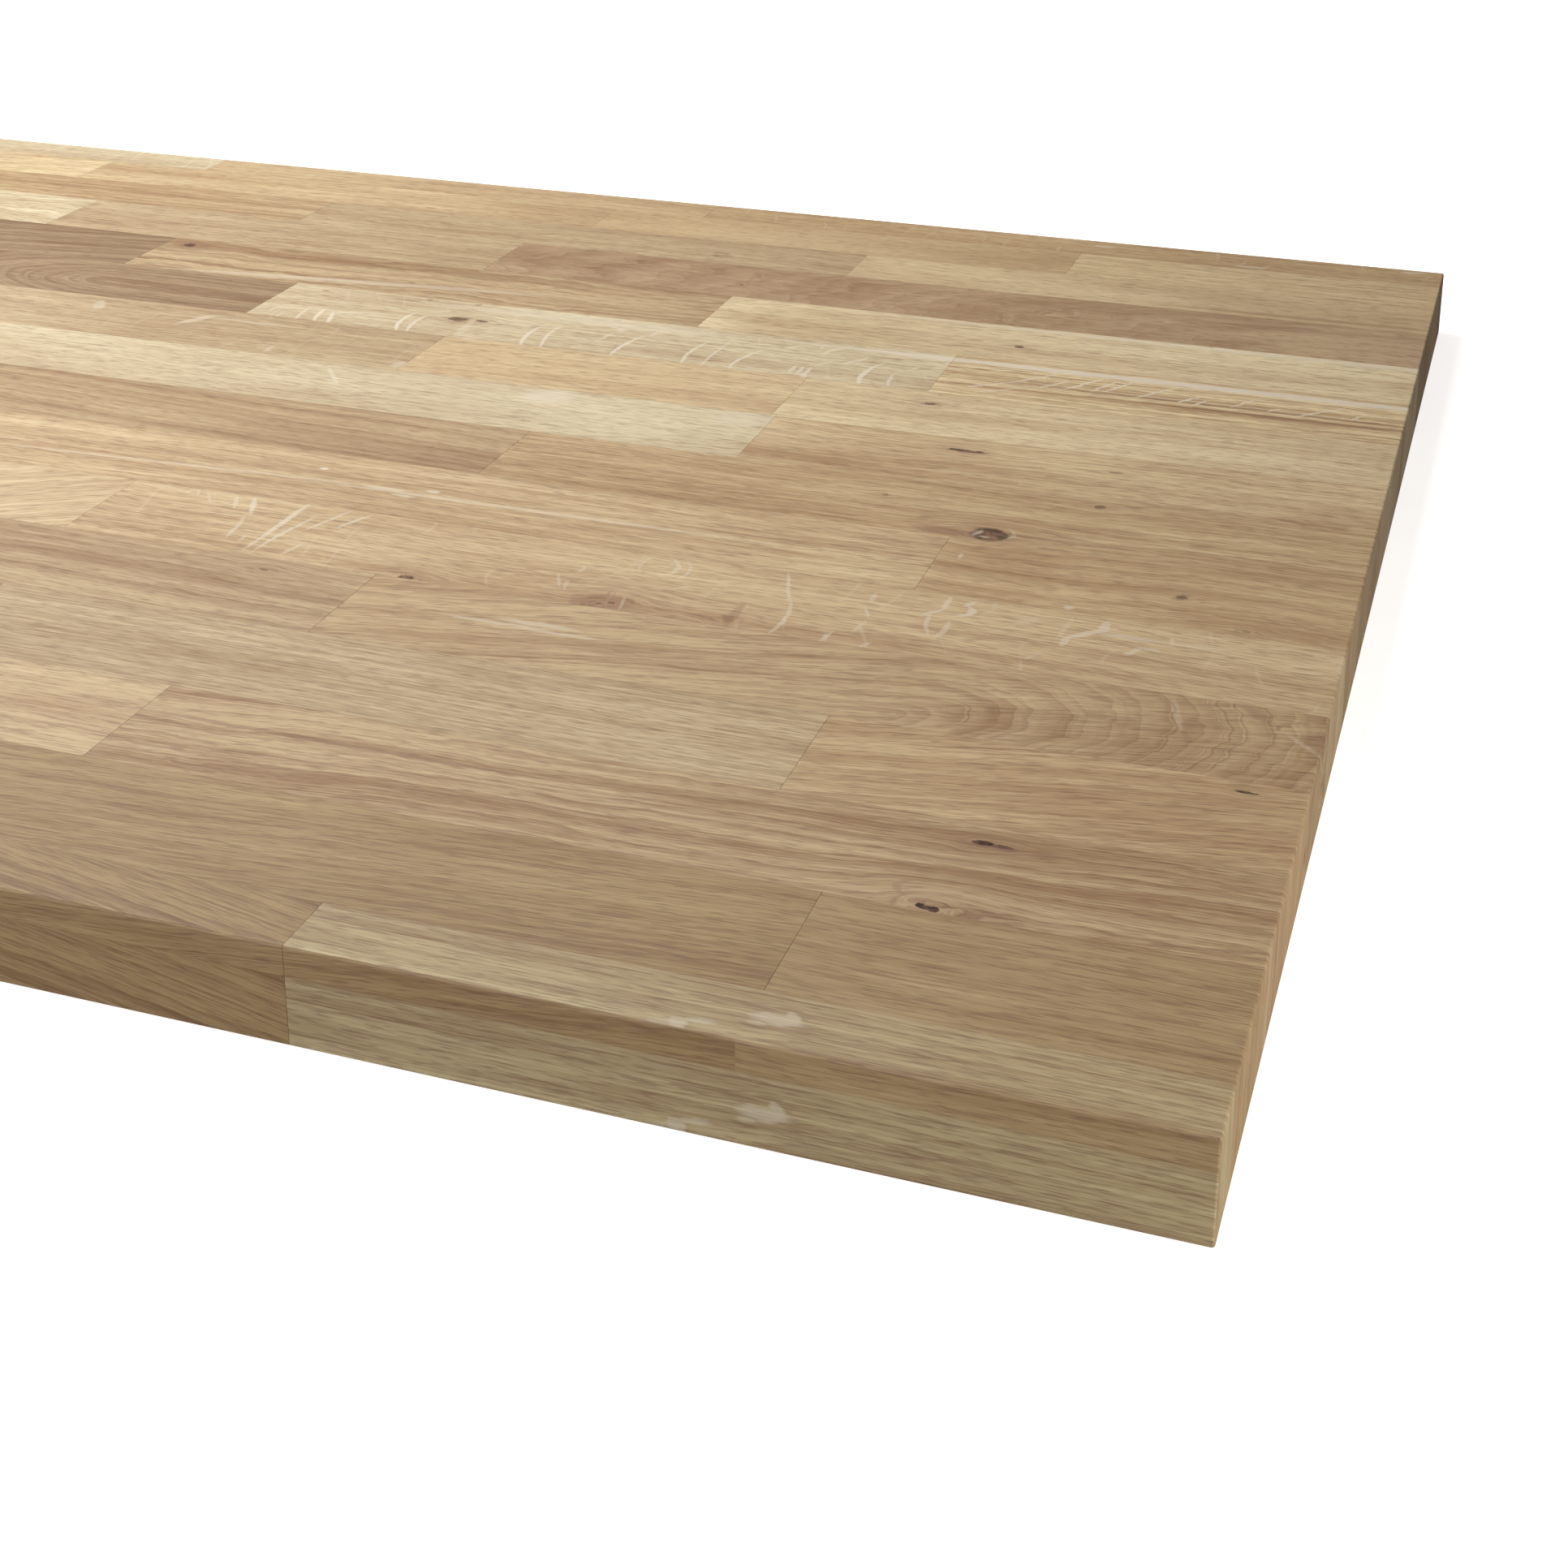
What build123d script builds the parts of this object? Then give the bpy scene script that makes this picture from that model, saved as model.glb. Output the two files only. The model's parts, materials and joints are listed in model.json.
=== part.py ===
from build123d import *
import os

# A solid oak butcher block countertop, laid flat. Full-thickness oak staves are butted end to
# end in rows, the rows are glued edge to edge, and the blank is ripped to depth, sanded flush
# on both faces and eased along its outer arrises. Sizes are in millimetres.
# The origin is the middle of the underside. +X runs along the staves to the right-hand end,
# -Y is the front edge, +Y the back edge, and the top is at Z = thickness.

length = 1860.0  # along the staves, a length that such tops are sold in
depth = 635.0  # front edge to back edge
thickness = 28.0  # sanded on both faces
edge_ease = 0.8  # radius sanded on every outer arris

full_rows = 12  # rows of full-width staves
narrow_rows = 2  # rows of narrower staves behind them
narrow_width = 33.7
front_width = 19.5  # front row, ripped down when the blank was cut to depth
back_width = 22.5  # back row, ripped down the same way

glue_line = 0.1  # glue between two butted stave ends
shortest_end = 90.0  # no row finishes with a stave shorter than this

# Distances from the right-hand end to each row's first butt joints, row by row from the front.
# All of them show but the last ones of rows 7 and 9, where a long stave runs out of sight.
first_joints = {
    1: [222.0],
    2: [108.0],
    3: [320.0],
    4: [134.0],
    5: [300.0],
    6: [417.0],
    7: [134.0, 520.0],
    8: [306.0],
    9: [225.0, 620.0],
    10: [227.0, 384.0],
    11: [178.0, 478.0],
    12: [290.0, 567.0],
    13: [409.0],
    14: [252.0],
    15: [160.0],
    16: [345.0],
}

# Sawn lengths that carry each row on to the left-hand end. Every row takes them up three
# further on than the row before, so that joints side by side stay apart.
sawn_lengths = [275.0, 220.0, 370.0, 230.0, 285.0, 310.0]
row_advance = 3


def row_widths():
    """Widths of the rows from the front edge back. The full rows share the depth that is left."""
    trimmed = front_width + back_width + narrow_rows * narrow_width
    full_width = (depth - trimmed) / full_rows
    return [front_width] + [full_width] * full_rows + [narrow_width] * narrow_rows + [back_width]


def stave_ends(row):
    """Where the staves of a row end, measured from the right-hand end of the blank."""
    ends = [0.0] + first_joints[row]
    turn = row * row_advance
    while True:
        next_end = ends[-1] + sawn_lengths[turn % len(sawn_lengths)]
        if next_end > length - shortest_end:
            return ends + [length]
        ends.append(next_end)
        turn += 1


def eased_blank():
    """The glued-up blank as it leaves the sander, with its outer arrises eased."""
    blank = Box(length, depth, thickness, align=(Align.CENTER, Align.CENTER, Align.MIN))
    return fillet(blank.edges(), edge_ease)


def stave(blank, start, end, front, width):
    """One stave, cut out of the blank. Half a glue line comes off each end that meets a stave."""
    right = length / 2 - start - (glue_line / 2 if start > 0 else 0)
    left = length / 2 - end + (glue_line / 2 if end < length else 0)
    section = Pos(left, front, 0) * Box(
        right - left, width, thickness, align=(Align.MIN, Align.MIN, Align.MIN)
    )
    return (blank & section).solid()


def stave_row(blank, row, front, width):
    """The staves of one row, in one node, as separate solids that the glue lines hold apart."""
    ends = stave_ends(row)
    return [stave(blank, start, end, front, width) for start, end in zip(ends, ends[1:])]


os.makedirs("parts", exist_ok=True)
blank = eased_blank()
front = -depth / 2
for row, width in enumerate(row_widths(), start=1):
    staves = stave_row(blank, row, front, width)
    name = f"stave_row_{row:02d}"
    node = Compound(label=name, children=staves)
    export_step(node, f"parts/{name}.step")
    print(name, "front", round(front, 2), "width", round(width, 2), "staves", len(staves))
    front += width
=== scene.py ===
import json
import math
import random

import bmesh
import bpy
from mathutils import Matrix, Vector

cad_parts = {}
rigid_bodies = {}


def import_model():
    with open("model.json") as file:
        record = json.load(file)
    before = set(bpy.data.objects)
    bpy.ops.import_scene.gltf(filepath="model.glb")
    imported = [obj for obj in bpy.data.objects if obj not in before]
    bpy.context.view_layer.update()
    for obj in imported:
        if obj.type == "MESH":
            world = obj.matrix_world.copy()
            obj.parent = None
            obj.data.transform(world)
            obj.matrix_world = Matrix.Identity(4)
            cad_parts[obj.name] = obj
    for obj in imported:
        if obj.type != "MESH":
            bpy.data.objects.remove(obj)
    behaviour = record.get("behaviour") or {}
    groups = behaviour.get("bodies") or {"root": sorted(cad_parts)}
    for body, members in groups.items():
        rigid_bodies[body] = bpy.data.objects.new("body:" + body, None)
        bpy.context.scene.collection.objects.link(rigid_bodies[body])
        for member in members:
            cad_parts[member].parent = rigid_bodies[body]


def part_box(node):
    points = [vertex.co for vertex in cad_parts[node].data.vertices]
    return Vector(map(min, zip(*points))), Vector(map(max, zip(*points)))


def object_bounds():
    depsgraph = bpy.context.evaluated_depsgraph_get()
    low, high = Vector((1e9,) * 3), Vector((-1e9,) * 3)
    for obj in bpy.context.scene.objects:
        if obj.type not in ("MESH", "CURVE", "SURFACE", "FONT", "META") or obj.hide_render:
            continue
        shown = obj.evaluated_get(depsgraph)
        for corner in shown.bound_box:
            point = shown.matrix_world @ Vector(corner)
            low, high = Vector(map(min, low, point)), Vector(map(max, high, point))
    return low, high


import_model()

scene = bpy.context.scene
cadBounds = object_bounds()
partLow, partHigh = (Vector(corner) for corner in cadBounds)
lengthMm, depthMm, thickMm = ((partHigh - partLow) * 1000)[:]
rowCount = 16
rowNames = [f"stave_row_{row:02d}" for row in range(1, rowCount + 1)]
print("frame loaded: top is", round(lengthMm), "x", round(depthMm), "x", round(thickMm), "mm")


def hexColour(code):
    # sRGB hex to the linear colour that the shaders take
    channels = [int(code[at:at + 2], 16) / 255 for at in (0, 2, 4)]
    return [c / 12.92 if c <= 0.04045 else ((c + 0.055) / 1.055) ** 2.4 for c in channels] + [1.0]


def addNode(tree, kind, inputs=(), **settings):
    # one node with its settings; each input is linked to a socket or set to a value
    node = tree.nodes.new("ShaderNode" + kind)
    for name, value in settings.items():
        setattr(node, name, value)
    live = [socket for socket in node.inputs if socket.enabled]
    pairs = inputs.items() if isinstance(inputs, dict) else enumerate(inputs)
    for key, value in pairs:
        socket = live[key] if isinstance(key, int) else node.inputs[key]
        if isinstance(value, bpy.types.NodeSocket):
            tree.links.new(value, socket)
        elif value is not None:
            socket.default_value = value
    return next((output for output in node.outputs if output.enabled), node)


# Oak, planed, glued up, sanded and oiled. Oil leaves it satin and a little darker, so that the
# rings, the pores and the rays show. Each stave has one of these tones.
oakTones = {
    "chestnut": "90744f", "umber": "8f775b", "walnut": "957d60", "brown": "9c815a",
    "russet": "a0855f", "taupe": "a5896a", "hazel": "a88e6c", "olive": "a8936e",
    "tan": "ae936f", "sand": "b19a78", "warm": "b59973", "amber": "b99f79", "buff": "bca27d",
    "honey": "c2aa85", "gold": "c8b089", "cream": "c5b493", "straw": "cbb691",
}
woodShade = {"dark": (0.665, 0.575, 0.515), "pale": (1.205, 1.30, 1.37)}  # of a stave's own tone

# How a stave was sawn from its log. Sizes are in millimetres. pith is where the log's heart
# runs, across the stave from its front edge and below its top. climb is how fast the heart
# sinks along the stave, and apex the distance from the right-hand end at which it lies at
# that depth. ring is the width of the year rings, wave how far the grain wanders and slant
# its slope across the stave. figure, fibre and rays say how strongly each of these shows.
oakCuts = {
    "plain": {"pith": (-90, 30), "climb": 0.0, "ring": 6.0, "figure": 0.35, "fibre": 0.8,
              "wave": 6.0, "slant": 0.0, "rays": 0.0},
    "striped": {"pith": (-60, 20), "climb": 0.0, "ring": 5.0, "figure": 0.9, "fibre": 0.8,
                "wave": 10.0, "slant": 0.01, "rays": 0.0},
    "arched": {"pith": (14, 2), "climb": -0.5, "ring": 4.0, "figure": 0.9, "fibre": 0.7,
               "wave": 10.0, "slant": 0.0, "rays": 0.0},
    "rayed": {"pith": (-95, 4), "climb": 0.0, "ring": 5.0, "figure": 0.35, "fibre": 0.7,
              "wave": 6.0, "slant": 0.0, "rays": 0.38},
    "wild": {"pith": (-12, 16), "climb": -0.04, "ring": 4.5, "figure": 0.85, "fibre": 0.7,
             "wave": 26.0, "slant": 0.03, "rays": 0.0},
    "slanted": {"pith": (-80, 20), "climb": 0.0, "ring": 4.5, "figure": 0.65, "fibre": 0.8,
                "wave": 8.0, "slant": 0.14, "rays": 0.0},
}

# The staves at the right-hand end, row by row from the front, each row from the end inwards
knownStaves = {
    1: [("olive", "plain", {"ring": 3.5, "figure": 0.8}),
        ("chestnut", "slanted", {"slant": -0.2, "ring": 5.0, "figure": 1.3, "fibre": 1.1})],
    2: [("russet", "plain", {}),
        ("brown", "slanted", {"slant": 0.07, "figure": 0.6, "wave": 14.0})],
    3: [("tan", "striped", {"wave": 16.0, "slant": 0.07, "figure": 1.2, "fibre": 0.95}),
        ("buff", "plain", {"fibre": 0.6})],
    4: [("warm", "slanted", {"slant": 0.17, "apex": 60, "wave": 10.0}),
        ("sand", "plain", {"ring": 2.0, "figure": 0.5, "fibre": 1.0})],
    5: [("tan", "arched", {"pith": (8, 2), "apex": 116, "climb": -0.6, "ring": 4.2,
                           "slant": 0.18, "wave": 13.0, "figure": 0.8}),
        ("hazel", "striped", {"ring": 5.0, "slant": -0.03})],
    6: [("buff", "plain", {"rays": 0.15, "figure": 0.5, "wave": 12.0}),
        ("honey", "slanted", {"slant": 0.49, "figure": 0.6})],
    7: [("warm", "plain", {"wave": 14.0, "figure": 0.6}),
        ("buff", "plain", {"figure": 0.7, "wave": 12.0})],
    8: [("amber", "striped", {"figure": 0.7}), ("hazel", "striped", {"slant": -0.06})],
    9: [("buff", "wild", {"wave": 16.0, "pith": (10, 8), "figure": 0.7}),
        ("cream", "plain", {"figure": 0.2, "fibre": 0.4})],
    10: [("straw", "plain", {}), ("gold", "slanted", {"slant": 0.04, "figure": 0.2, "fibre": 0.6}),
         ("sand", "plain", {"rays": 0.1})],
    11: [("gold", "plain", {"figure": 1.6, "fibre": 1.3}),
         ("cream", "plain", {"rays": 0.15, "figure": 0.4}),
         ("walnut", "arched", {"apex": 560, "climb": 0.4, "pith": (20, 2), "figure": 1.3})],
    12: [("straw", "plain", {"figure": 0.2, "fibre": 0.4}),
         ("hazel", "wild", {"figure": 1.4, "wave": 22.0}),
         ("umber", "slanted", {"figure": 1.2})],
    13: [("taupe", "arched", {"pith": (0, 2), "apex": 26, "climb": 0.35, "ring": 6.0,
                              "wave": 26.0, "figure": 0.6, "fibre": 0.9}),
         ("sand", "plain", {})],
    14: [("honey", "plain", {"wave": 12.0, "figure": 0.1, "fibre": 0.4}),
         ("sand", "wild", {"figure": 0.5})],
    15: [("gold", "plain", {"figure": 0.3}),
         ("amber", "plain", {"figure": 0.1, "fibre": 0.4})],
    16: [("warm", "plain", {"rays": 0.2}), ("buff", "plain", {})],
}

# Knots: distance from the right-hand end and from the stave's front edge, radius, how many
# times as long as wide, how dark, and how far around it the grain bends, in millimetres
oakKnots = {
    3: [(76.4, 34.8, 1.2, 2.5, 0.9, 5.0), (70.8, 34.3, 0.8, 3.4, 0.5, 3.0),
        (79.9, 1.0, 1.2, 1.1, 0.95, 15.0), (83.3, 1.8, 0.9, 1.1, 0.9, 4.0),
        (81.5, 1.3, 0.9, 2.2, 0.85, 3.0)],
    4: [(16.0, 38.0, 0.6, 5.0, 0.8, 3.0)],
    5: [(336.0, 35.5, 0.9, 1.6, 0.35, 6.0)],
    6: [(290.0, 0.8, 2.0, 1.3, 0.85, 9.0), (221.0, 4.5, 0.9, 1.7, 0.75, 12.0),
        (224.2, 2.6, 0.6, 1.5, 0.4, 3.0), (228.8, 0.8, 0.9, 1.0, 0.35, 3.0),
        (182.0, 4.8, 1.6, 1.0, 0.3, 7.0)],
    7: [(53.0, 21.3, 1.2, 1.6, 0.5, 6.0), (30.5, 3.5, 1.2, 1.2, 0.35, 5.0)],
    8: [(122.0, 5.7, 5.1, 1.3, 0.78, 12.0), (92.0, 40.5, 1.7, 1.2, 0.6, 6.0),
        (164.5, 27.3, 1.0, 1.4, 0.4, 5.0)],
    9: [(147.0, 32.2, 1.1, 7.0, 0.85, 5.0), (93.0, 29.0, 0.6, 4.0, 0.6, 4.0)],
    10: [(173.6, 31.2, 1.5, 1.6, 0.75, 6.0)],
    11: [(388.7, 21.4, 2.0, 2.2, 0.7, 8.0), (377.7, 22.0, 1.3, 2.0, 0.75, 6.0)],
    12: [(156.8, 18.5, 1.1, 1.8, 0.8, 5.0), (554.5, 35.5, 2.7, 1.1, 0.9, 9.0)],
    13: [(291.5, 16.5, 0.7, 1.2, 0.6, 3.0)],
    14: [(315.0, 11.0, 3.0, 1.6, 0.15, 13.0)],
}

# Marks, mostly rays and sapwood in the face: distance of the middle from the right-hand end
# and from the stave's front edge, half length along and half width across the stave, how many
# millimetres it leans along for each one across, how far its ends bow, and how pale it is.
# A dark mark has a negative number there.
oakMarks = {
    1: [(101.3, 9.6, 5.6, 1.7, 0.0, 0.0, 0.45), (98.2, 11.6, 1.6, 1.5, 0.3, 0.0, 0.4),
        (105.6, 7.3, 2.2, 0.8, 0.0, 0.0, 0.25), (122.4, 1.7, 2.2, 1.6, 0.0, 0.0, 0.45),
        (117.6, 3.8, 2.6, 0.9, -2.0, 0.0, 0.34), (126.5, 0.8, 3.0, 0.8, 0.0, 0.0, 0.25),
        (65.0, 7.4, 8.0, 0.4, 0.0, 0.0, -0.5)],
    2: [(305.0, 32.0, 26.0, 0.7, 0.0, 0.0, -0.4), (135.0, 9.0, 11.0, 0.4, 0.0, 0.0, -0.5),
        (73.0, 21.2, 7.0, 0.4, 0.0, 0.0, -0.4)],
    3: [(70.5, 34.3, 3.4, 0.8, 0.0, 0.0, -0.75), (72.0, 33.5, 9.5, 0.9, 0.0, 0.0, -0.45),
        (60.0, 34.4, 8.0, 0.5, 0.0, 0.0, -0.35), (91.5, 8.5, 1.0, 3.6, 0.0, -3.0, -0.3),
        (15.0, 5.3, 3.2, 3.4, -5.2, 0.0, -0.5), (265.0, 28.4, 62.0, 1.0, 0.0, 0.0, -0.5),
        (285.0, 11.2, 36.0, 0.8, 0.0, 0.0, -0.4)],
    5: [(236.0, 27.0, 12.0, 1.3, 0.0, 0.0, 0.45), (248.0, 24.0, 16.0, 0.9, 0.0, 0.0, 0.4),
        (226.0, 23.0, 12.0, 0.8, 0.0, 0.0, 0.4), (41.5, 32.5, 1.1, 9.0, 0.29, 0.0, 0.16),
        (5.0, 25.0, 1.2, 5.0, 1.0, 0.0, 0.2), (0.0, 29.0, 6.0, 3.4, 0.0, 0.0, -0.4),
        (20.5, 39.5, 2.4, 4.6, 0.9, 0.0, -0.32), (37.0, 27.0, 2.0, 2.8, 0.0, 0.0, -0.35),
        (36.4, 19.5, 1.1, 3.6, 0.4, 0.0, -0.3), (62.5, 24.0, 3.2, 2.2, 0.0, 0.0, -0.3),
        (55.0, 22.5, 3.2, 3.6, 0.0, 0.0, -0.28), (13.0, 33.0, 0.7, 1.3, 0.0, 0.0, -0.55)],
    6: [(223.5, 3.5, 8.5, 5.0, 0.0, 0.0, -0.42), (224.0, 8.8, 0.6, 4.2, 0.0, 0.0, -0.35),
        (222.0, 8.4, 0.5, 4.0, 0.1, 0.0, -0.3), (217.3, 5.0, 0.5, 4.2, 0.2, 0.0, 0.28),
        (239.4, 12.0, 0.6, 3.2, 0.2, 0.0, 0.28), (223.3, 22.8, 0.9, 1.2, 2.5, 0.0, 0.3),
        (204.7, 21.2, 0.8, 1.9, -1.2, 0.0, 0.3), (181.5, 8.0, 1.6, 8.0, 0.0, 0.0, -0.3),
        (222.6, 34.6, 0.6, 6.0, 0.0, -1.4, 0.27), (210.2, 34.5, 0.8, 7.0, 0.0, 4.0, 0.39),
        (206.0, 33.5, 0.6, 7.5, 0.0, 3.0, 0.31), (172.2, 33.0, 0.7, 9.0, 0.33, 0.0, 0.43),
        (165.9, 12.5, 0.7, 12.5, 0.06, 2.2, 0.39), (144.6, 34.2, 0.9, 3.2, 0.0, 0.0, 0.35),
        (143.4, 23.6, 0.6, 3.4, 0.47, 0.0, 0.35), (142.6, 13.2, 0.6, 4.2, -0.18, 0.0, 0.31),
        (150.3, 3.2, 0.7, 3.8, -0.17, 0.0, 0.35), (137.8, 1.6, 0.6, 2.4, -0.5, 0.0, 0.39),
        (121.6, 37.4, 0.9, 4.8, 0.0, 0.0, 0.47), (123.6, 30.9, 0.8, 3.6, -0.82, 0.0, 0.47),
        (124.0, 22.0, 0.7, 6.8, 0.22, -0.8, 0.39), (114.6, 39.4, 1.2, 2.4, -0.45, 0.0, 0.47),
        (112.6, 33.4, 1.3, 4.2, -0.3, 3.4, 0.55), (117.6, 19.4, 0.9, 5.6, -0.12, 0.4, 0.39),
        (83.0, 33.0, 0.8, 8.0, -0.1, 0.0, 0.2), (71.8, 36.6, 1.5, 3.8, 0.0, 0.0, 0.47),
        (76.4, 30.2, 2.0, 4.4, -1.1, 0.0, 0.55), (81.4, 23.8, 1.3, 3.2, -0.1, 0.0, 0.47),
        (62.5, 32.2, 9.5, 1.4, 0.0, 0.0, 0.35), (50.5, 33.0, 0.8, 2.4, 0.0, 0.0, 0.35),
        (42.5, 32.6, 7.0, 0.9, 0.0, 0.0, 0.31), (60.4, 23.4, 1.1, 3.0, -0.62, 0.0, 0.43),
        (56.4, 26.2, 3.0, 0.9, 0.0, 0.0, 0.35), (88.4, 10.6, 0.6, 3.0, -0.6, 0.0, 0.23),
        (94.8, 34.7, 2.8, 2.4, 0.0, 0.0, 0.2), (394.0, 40.3, 0.6, 1.8, 0.0, 0.0, 0.39),
        (390.3, 40.3, 0.6, 1.8, 0.4, 0.0, 0.39), (384.8, 38.4, 0.7, 3.6, 0.7, 0.0, 0.31),
        (373.8, 37.5, 0.8, 4.8, 0.45, 0.0, 0.43), (366.5, 36.5, 1.0, 5.8, 0.45, 0.0, 0.58),
        (362.4, 19.0, 0.7, 8.0, 0.18, 0.4, 0.43), (355.5, 11.3, 0.5, 2.8, 0.0, 0.0, 0.31),
        (349.5, 28.0, 1.0, 15.0, -0.03, 0.0, 0.62), (350.2, 10.0, 0.7, 5.8, -0.05, 0.0, 0.43),
        (344.9, 19.5, 0.7, 14.0, -0.18, -0.6, 0.51), (336.0, 33.0, 0.7, 9.0, -0.36, 0.0, 0.47),
        (327.2, 35.6, 0.8, 6.4, -0.45, 0.0, 0.51), (335.7, 8.8, 0.7, 4.6, -0.24, 0.0, 0.39),
        (239.3, 24.6, 0.7, 2.2, 0.0, 0.0, 0.35), (242.9, 14.4, 0.6, 4.6, 0.5, 0.0, 0.28)],
    7: [(85.0, 2.9, 1.6, 1.2, 0.0, 0.0, 0.5), (126.7, 29.8, 0.8, 1.8, 0.0, 0.0, 0.4),
        (415.0, 17.5, 14.0, 3.6, -18.0, 0.0, 0.4), (280.0, 19.2, 78.0, 1.0, 0.0, 0.0, 0.35),
        (360.0, 30.3, 1.7, 0.7, 0.0, 0.0, 1.0), (331.0, 20.5, 7.0, 1.1, 0.0, 0.0, 0.5),
        (313.5, 23.5, 2.4, 0.9, 0.0, 0.0, 0.7), (322.0, 17.0, 4.0, 0.9, 0.0, 0.0, 0.45)],
    8: [(126.2, 6.0, 1.0, 2.2, -0.4, 0.0, 0.4), (123.4, 3.6, 1.6, 0.8, 0.0, 0.0, 0.3),
        (137.0, 3.8, 9.0, 2.8, 0.0, 0.0, -0.6), (96.0, 8.0, 20.0, 1.1, 0.0, 0.0, -0.45),
        (114.2, 7.4, 0.7, 4.6, 0.0, 2.2, 0.22)],
    9: [(314.2, 34.8, 9.5, 7.0, -0.2, 0.0, 0.5), (236.0, 36.4, 10.5, 6.4, -0.3, 0.0, 0.3),
        (405.0, 30.4, 1.2, 7.6, 0.8, 0.0, 0.45)],
    10: [(493.0, 29.5, 2.4, 6.6, -0.63, 0.0, 0.4), (468.0, 33.5, 20.0, 1.2, 0.0, 0.0, 0.25),
         (543.0, 33.0, 2.6, 5.0, 0.4, 0.0, 0.35), (445.0, 6.0, 1.0, 3.4, 0.0, 0.0, 0.3),
         (386.0, 6.0, 2.6, 3.2, 0.0, 0.0, 0.35)],
    11: [(75.0, 20.2, 80.0, 1.2, 0.0, 0.0, -0.6), (55.0, 23.2, 62.0, 0.8, 0.0, 0.0, -0.35),
         (45.0, 14.6, 52.0, 1.0, 0.0, 0.0, -0.6), (90.0, 34.3, 92.0, 0.5, 0.0, 0.0, -0.35),
         (170.0, 31.2, 0.8, 3.2, -2.3, 0.0, 0.58), (156.0, 32.4, 0.8, 3.4, -1.9, 0.0, 0.58),
         (142.0, 28.0, 0.8, 8.0, -0.98, 0.0, 0.72), (157.7, 14.7, 0.8, 5.2, -1.37, 0.0, 0.72),
         (134.0, 22.8, 0.8, 4.8, -0.9, 0.0, 0.72), (152.5, 10.4, 0.8, 4.8, -1.58, 0.0, 0.72),
         (122.4, 27.4, 0.8, 7.6, -0.72, 0.0, 0.87), (114.4, 27.4, 0.7, 6.6, -0.53, 0.0, 0.72),
         (108.5, 29.2, 0.7, 6.8, -0.63, 0.0, 0.8), (94.0, 27.0, 0.7, 8.0, -0.79, 0.0, 0.8),
         (81.0, 23.2, 0.7, 4.3, -0.78, 0.0, 0.8), (76.1, 21.0, 0.7, 4.1, -0.64, 0.0, 0.72),
         (60.4, 26.0, 0.7, 5.3, -0.68, 0.0, 0.72), (48.4, 22.3, 0.7, 2.4, -0.8, 0.0, 0.65),
         (30.8, 26.0, 0.8, 7.2, -1.12, 0.0, 0.8), (17.6, 24.2, 0.7, 3.4, -0.72, 0.0, 0.65),
         (335.0, 37.0, 56.0, 5.0, 0.0, 0.0, 0.35),
         (80.0, 39.2, 150.0, 2.2, 0.0, 0.0, 0.85), (352.7, 10.6, 0.9, 12.0, 0.09, -2.0, 0.74),
         (344.2, 12.0, 0.8, 13.4, 0.13, -1.5, 0.63), (318.0, 33.6, 2.0, 7.4, 0.0, 0.0, 0.39),
         (321.0, 20.9, 0.8, 4.6, -0.23, 0.0, 0.44), (302.6, 33.6, 1.5, 6.4, -0.18, 0.0, 0.48),
         (310.2, 12.6, 0.9, 14.0, -0.15, -1.7, 0.74), (281.5, 13.2, 0.8, 14.4, -0.04, -2.4, 0.68),
         (271.7, 14.0, 0.6, 15.6, -0.04, -0.7, 0.48), (259.3, 12.6, 0.8, 14.0, -0.24, -3.1, 0.68),
         (244.5, 32.0, 1.0, 2.4, -0.75, 0.0, 0.48), (232.4, 35.6, 0.8, 2.2, 0.0, 0.0, 0.39),
         (227.6, 33.6, 1.1, 5.4, -0.6, -1.6, 0.63), (235.7, 7.6, 0.9, 3.8, 0.0, 0.0, 0.63),
         (232.4, 7.6, 0.8, 3.8, 0.0, 0.0, 0.63), (229.2, 7.6, 0.9, 3.8, 0.0, 0.0, 0.63),
         (229.0, 1.4, 1.2, 3.0, 0.36, 0.0, 0.59), (226.0, 18.2, 0.8, 3.2, -0.7, 0.0, 0.44),
         (216.6, 22.2, 0.9, 4.4, -0.62, 0.0, 0.54), (212.6, 27.0, 0.8, 3.0, -0.5, 0.0, 0.48),
         (207.4, 11.4, 1.0, 13.0, -0.06, -2.7, 0.78), (195.7, 7.6, 0.7, 6.8, 0.1, -0.8, 0.59),
         (190.4, 22.8, 0.8, 3.0, -0.64, 0.0, 0.44), (162.8, 12.0, 0.8, 3.0, -0.8, 0.0, 0.39),
         (469.8, 8.8, 0.7, 3.2, -0.15, 0.0, 0.44), (463.4, 2.6, 0.6, 2.8, 0.0, 0.0, 0.39),
         (455.2, 6.2, 0.7, 6.8, 0.12, -0.3, 0.54), (447.6, 7.5, 0.9, 8.3, 0.19, -0.8, 0.74),
         (440.9, 6.2, 0.9, 7.0, 0.34, 0.0, 0.74), (435.8, 14.8, 2.8, 2.2, -3.3, 0.0, 0.59),
         (410.6, 10.4, 0.9, 11.4, 0.16, -2.6, 0.78), (404.4, 10.4, 0.8, 11.4, 0.07, -2.0, 0.63),
         (380.8, 9.5, 1.9, 9.6, 0.1, 0.0, 0.3), (422.0, 37.6, 6.0, 0.8, 0.0, 0.0, -0.5),
         (461.0, 38.4, 1.6, 1.0, 0.0, 0.0, -0.45), (412.0, 41.0, 1.2, 1.4, 0.0, 0.0, -0.5),
         (388.7, 41.2, 1.4, 1.6, 0.0, 0.0, -0.45)],
    12: [(60.0, 41.0, 150.0, 1.8, 0.0, 0.0, 0.5), (455.0, 10.0, 22.0, 8.4, -9.0, 0.0, 0.35),
         (110.0, 24.0, 4.0, 0.8, 0.0, 0.0, -0.4), (84.0, 11.0, 3.0, 0.7, 0.0, 0.0, -0.4),
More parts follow.
